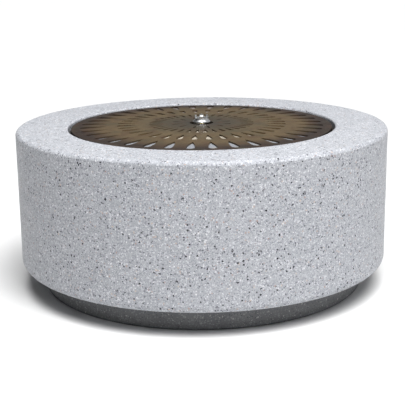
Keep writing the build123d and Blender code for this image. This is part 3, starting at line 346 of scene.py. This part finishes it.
def gel_coat():
    """Pale bowl: bluish white out at the wall, creamier and more water-marked to the centre."""
    shader = Shader("gel_coat")
    radius = shader.radius()
    outward = shader.span(radius, 0.1, 0.38)
    colour = shader.ramp(
        outward,
        (
            (0.0, (0.74, 0.70, 0.60)),
            (0.6, (0.80, 0.78, 0.72)),
            (1.0, (0.80, 0.83, 0.88)),
        ),
    )
    scum = shader.noise(30.0, detail=5.0, roughness=0.6)
    colour = shader.mix(shader.span(scum, 0.45, 0.75, 0.0, 0.35), colour, (0.5, 0.46, 0.38, 1.0))
    shader.colour(colour)
    shader.roughness(shader.span(scum, 0.3, 0.7, 0.22, 0.42))
    shader.bump(shader.noise(12.0, detail=2.0), distance=0.001, strength=0.2)
    return shader.material


def fibre_mat():
    """Coarse fibre mat: cream at the middle, bluish white at the edge, with painted shade darkening
    it at the back.
    """
    shader = Shader("fibre_mat", Roughness=0.9)
    radius = shader.radius()
    outward = shader.span(radius, 0.24, 0.34)
    colour = shader.ramp(
        outward,
        (
            (0.0, (0.34, 0.30, 0.24)),
            (0.5, (0.245, 0.24, 0.235)),
            (1.0, (0.18, 0.197, 0.23)),
        ),
    )
    strands = shader.noise(260.0, detail=5.0, roughness=0.7, stretch=(1.0, 3.0, 1.0))
    cross = shader.noise(260.0, detail=5.0, roughness=0.7, stretch=(3.0, 1.0, 1.0))
    matted = shader.math("MULTIPLY", strands, cross)
    colour = shader.mix(shader.span(matted, 0.16, 0.34, 0.35, 0.0), colour, (0.32, 0.29, 0.25, 1.0))
    stain = shader.noise(20.0, detail=4.0)
    colour = shader.mix(shader.span(stain, 0.5, 0.75, 0.0, 0.4), colour, (0.35, 0.30, 0.22, 1.0))
    # Painted shade: the mat is darkened towards the back (+Y), standing in for the dimmer slots
    # there.
    painted_back_shade = shader.math("ADD", shader.along(1), shader.math("MULTIPLY", stain, 0.12))
    colour = shader.mix(shader.span(painted_back_shade, 0.0, 0.22, 0.0, 0.85), colour, (0.16, 0.13, 0.115, 1.0))
    shader.colour(colour)
    shader.bump(matted, distance=0.002, strength=0.8)
    return shader.material


looks = {
    "terrazzo": terrazzo(),
    "dark_precast": dark_precast(),
    "bronze": cast_bronze(),
    "bowl_white": gel_coat(),
    "mat": fibre_mat(),
    "stainless": drawn_metal(
        "stainless", (0.62, 0.62, 0.60), (0.48, 0.48, 0.46), 0.28, (1.0, 1.0, 12.0)
    ),
    "zinc_steel": drawn_metal(
        "zinc_steel", (0.56, 0.57, 0.60), (0.42, 0.42, 0.42), 0.38, (1.0, 8.0, 1.0)
    ),
    # The dark frame sits under the grate's edge; its near-black colour also paints the shade in the
    # gap round the grate.
    "dark_frame": moulded("dark_frame", (0.03, 0.025, 0.02), (0.055, 0.04, 0.03), 0.5, 320.0, 0.4),
    "chrome": chrome(),
    "brass": drawn_metal("brass", (0.66, 0.48, 0.20), (0.42, 0.28, 0.13), 0.3, (1.0, 1.0, 10.0)),
    "copper": drawn_metal(
        "copper", (0.66, 0.33, 0.20), (0.33, 0.17, 0.11), 0.34, (10.0, 10.0, 1.0)
    ),
    "rubber": moulded("rubber", (0.022, 0.022, 0.023), (0.045, 0.045, 0.045), 0.75),
    "white_plastic": moulded("white_plastic", (0.80, 0.80, 0.77), (0.70, 0.69, 0.64), 0.4),
    "grip_blue": moulded("grip_blue", (0.03, 0.11, 0.36), (0.02, 0.07, 0.24), 0.45),
    "grey_plastic": moulded("grey_plastic", (0.22, 0.23, 0.24), (0.16, 0.165, 0.17), 0.42),
}
for part in frame["record"]["subparts"]:
    piece = frame["nodes"][part["node"]]
    for index in range(len(piece.material_slots)):
        piece.material_slots[index].material = looks[part["material_slot"]]


# ---------------------------------------------------------------- check valve spring


def coil_spring(name, node, wire_radius, pitch, turn_steps=40, wire_sides=10):
    """An upright coil in a CAD node's place."""
    low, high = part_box(node)
    centre = (low + high) / 2
    coil_radius = (high[0] - low[0]) / 2 - wire_radius
    rise = high[2] - low[2] - 2 * wire_radius
    slope = Vector((coil_radius, 0.0, pitch / (2 * pi))).normalized()
    steps = round(turn_steps * rise / pitch)
    points = []
    for step in range(steps + 1):
        angle = 2 * pi * rise / pitch * step / steps
        outward = Vector((cos(angle), sin(angle), 0.0))
        forward = Vector((-sin(angle), cos(angle), 0.0))
        upward = Vector((0.0, 0.0, slope[0])) - forward * slope[2]
        axis_point = Vector((centre[0], centre[1], low[2] + wire_radius + rise * step / steps))
        for side in range(wire_sides):
            turn = 2 * pi * side / wire_sides
            ring_point = outward * (coil_radius + wire_radius * cos(turn))
            points.append(axis_point + ring_point + upward * (wire_radius * sin(turn)))
    faces = [tuple(range(wire_sides))]
    for step in range(steps):
        for side in range(wire_sides):
            near, far = step * wire_sides, (step + 1) * wire_sides
            following = (side + 1) % wire_sides
            faces.append((near + side, far + side, far + following, near + following))
    faces.append(tuple(reversed(range(steps * wire_sides, (steps + 1) * wire_sides))))
    mesh = bpy.data.meshes.new(name)
    mesh.from_pydata(points, [], faces)
    for face in mesh.polygons[1:-1]:
        face.use_smooth = True
    mesh.materials.append(looks["stainless"])
    spring = bpy.data.objects.new(name, mesh)
    bpy.context.collection.objects.link(spring)
    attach(spring, "drum")
    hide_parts(node)
    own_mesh(spring)


coil_spring(
    "check_coil", "check_spring", wire_radius=0.0006, pitch=0.0043
)


# ---------------------------------------------------------------- floor, light and camera


def studio_floor(half_width=45.0):
    """A wide pale floor under the object."""
    corners = [
        (-half_width, -half_width, 0),
        (half_width, -half_width, 0),
        (half_width, half_width, 0),
        (-half_width, half_width, 0),
    ]
    mesh = bpy.data.meshes.new("floor")
    mesh.from_pydata(corners, [], [(0, 1, 2, 3)])
    floor = bpy.data.objects.new("floor", mesh)
    bpy.context.collection.objects.link(floor)
    shader = Shader("floor", Roughness=0.9)
    cloud = shader.noise(0.6)
    shader.colour(shader.ramp(cloud, ((0.3, (0.70, 0.70, 0.70)), (0.7, (0.72, 0.72, 0.72)))))
    mesh.materials.append(shader.material)


def soft_sun(name, direction, level, spread):
    """A broad, distant light from a direction; white turned square to it shows the level."""
    lamp = bpy.data.lights.new(name, "SUN")
    lamp.energy = level * pi
    lamp.angle = radians(spread)
    made = bpy.data.objects.new(name, lamp)
    made.rotation_euler = Vector(direction).to_track_quat("Z", "Y").to_euler()
    bpy.context.collection.objects.link(made)


def studio_world(strength, rise):
    """A soft, very slightly cool surround, brighter towards +X by the rise."""
    world = bpy.data.worlds.new("studio")
    world.use_nodes = True
    nodes = world.node_tree.nodes
    links = world.node_tree.links
    background = nodes["Background"]
    background.inputs["Color"].default_value = (0.97, 0.985, 1.0, 1.0)
    direction = nodes.new("ShaderNodeSeparateXYZ")
    links.new(nodes.new("ShaderNodeTexCoord").outputs["Generated"], direction.inputs[0])
    level = nodes.new("ShaderNodeMath")
    level.operation = "MULTIPLY_ADD"
    level.inputs[1].default_value = rise
    level.inputs[2].default_value = strength
    links.new(direction.outputs[0], level.inputs[0])
    links.new(level.outputs[0], background.inputs["Strength"])
    bpy.context.scene.world = world


def soft_panel(name, place, target, size, power):
    """A square lamp, turned to a point."""
    lamp = bpy.data.lights.new(name, "AREA")
    lamp.size = size
    lamp.energy = power
    made = bpy.data.objects.new(name, lamp)
    made.location = place
    made.rotation_euler = (Vector(target) - Vector(place)).to_track_quat("-Z", "Y").to_euler()
    bpy.context.collection.objects.link(made)


def set_camera(distance, height, pitch, roll, lens):
    """A camera in front of the drum, tilted down by pitch and turned on its own axis by roll."""
    ahead = Vector((0.0, cos(pitch), -sin(pitch)))
    level = Vector((1.0, 0.0, 0.0))
    down = ahead.cross(level)
    right = level * cos(roll) + down * sin(roll)
    below = down * cos(roll) - level * sin(roll)
    lens_data = bpy.data.cameras.new("camera")
    lens_data.lens = lens
    lens_data.sensor_width = 36.0
    camera = bpy.data.objects.new("camera", lens_data)
    turned = Matrix((right, -below, -ahead)).transposed().to_4x4()
    camera.matrix_world = Matrix.Translation((0.0, -distance, height)) @ turned
    bpy.context.collection.objects.link(camera)
    bpy.context.scene.camera = camera


studio_floor()
studio_world(strength=0.21, rise=0.21)
soft_sun("overhead", direction=(0.16, -0.38, 1.24), level=1.35, spread=40.0)
soft_panel(
    "front_top", place=(0.25, -1.2, 2.6), target=(0.0, -0.5, 0.5), size=1.0, power=30.0
)
camera_distance = 5.397 * drum_radius
camera_height = 1.796 * drum_radius
camera_pitch = 0.251
camera_roll = 0.0132
lens_length = 89.05
set_camera(camera_distance, camera_height, camera_pitch, camera_roll, lens_length)
bpy.context.scene.view_settings.view_transform = "Standard"
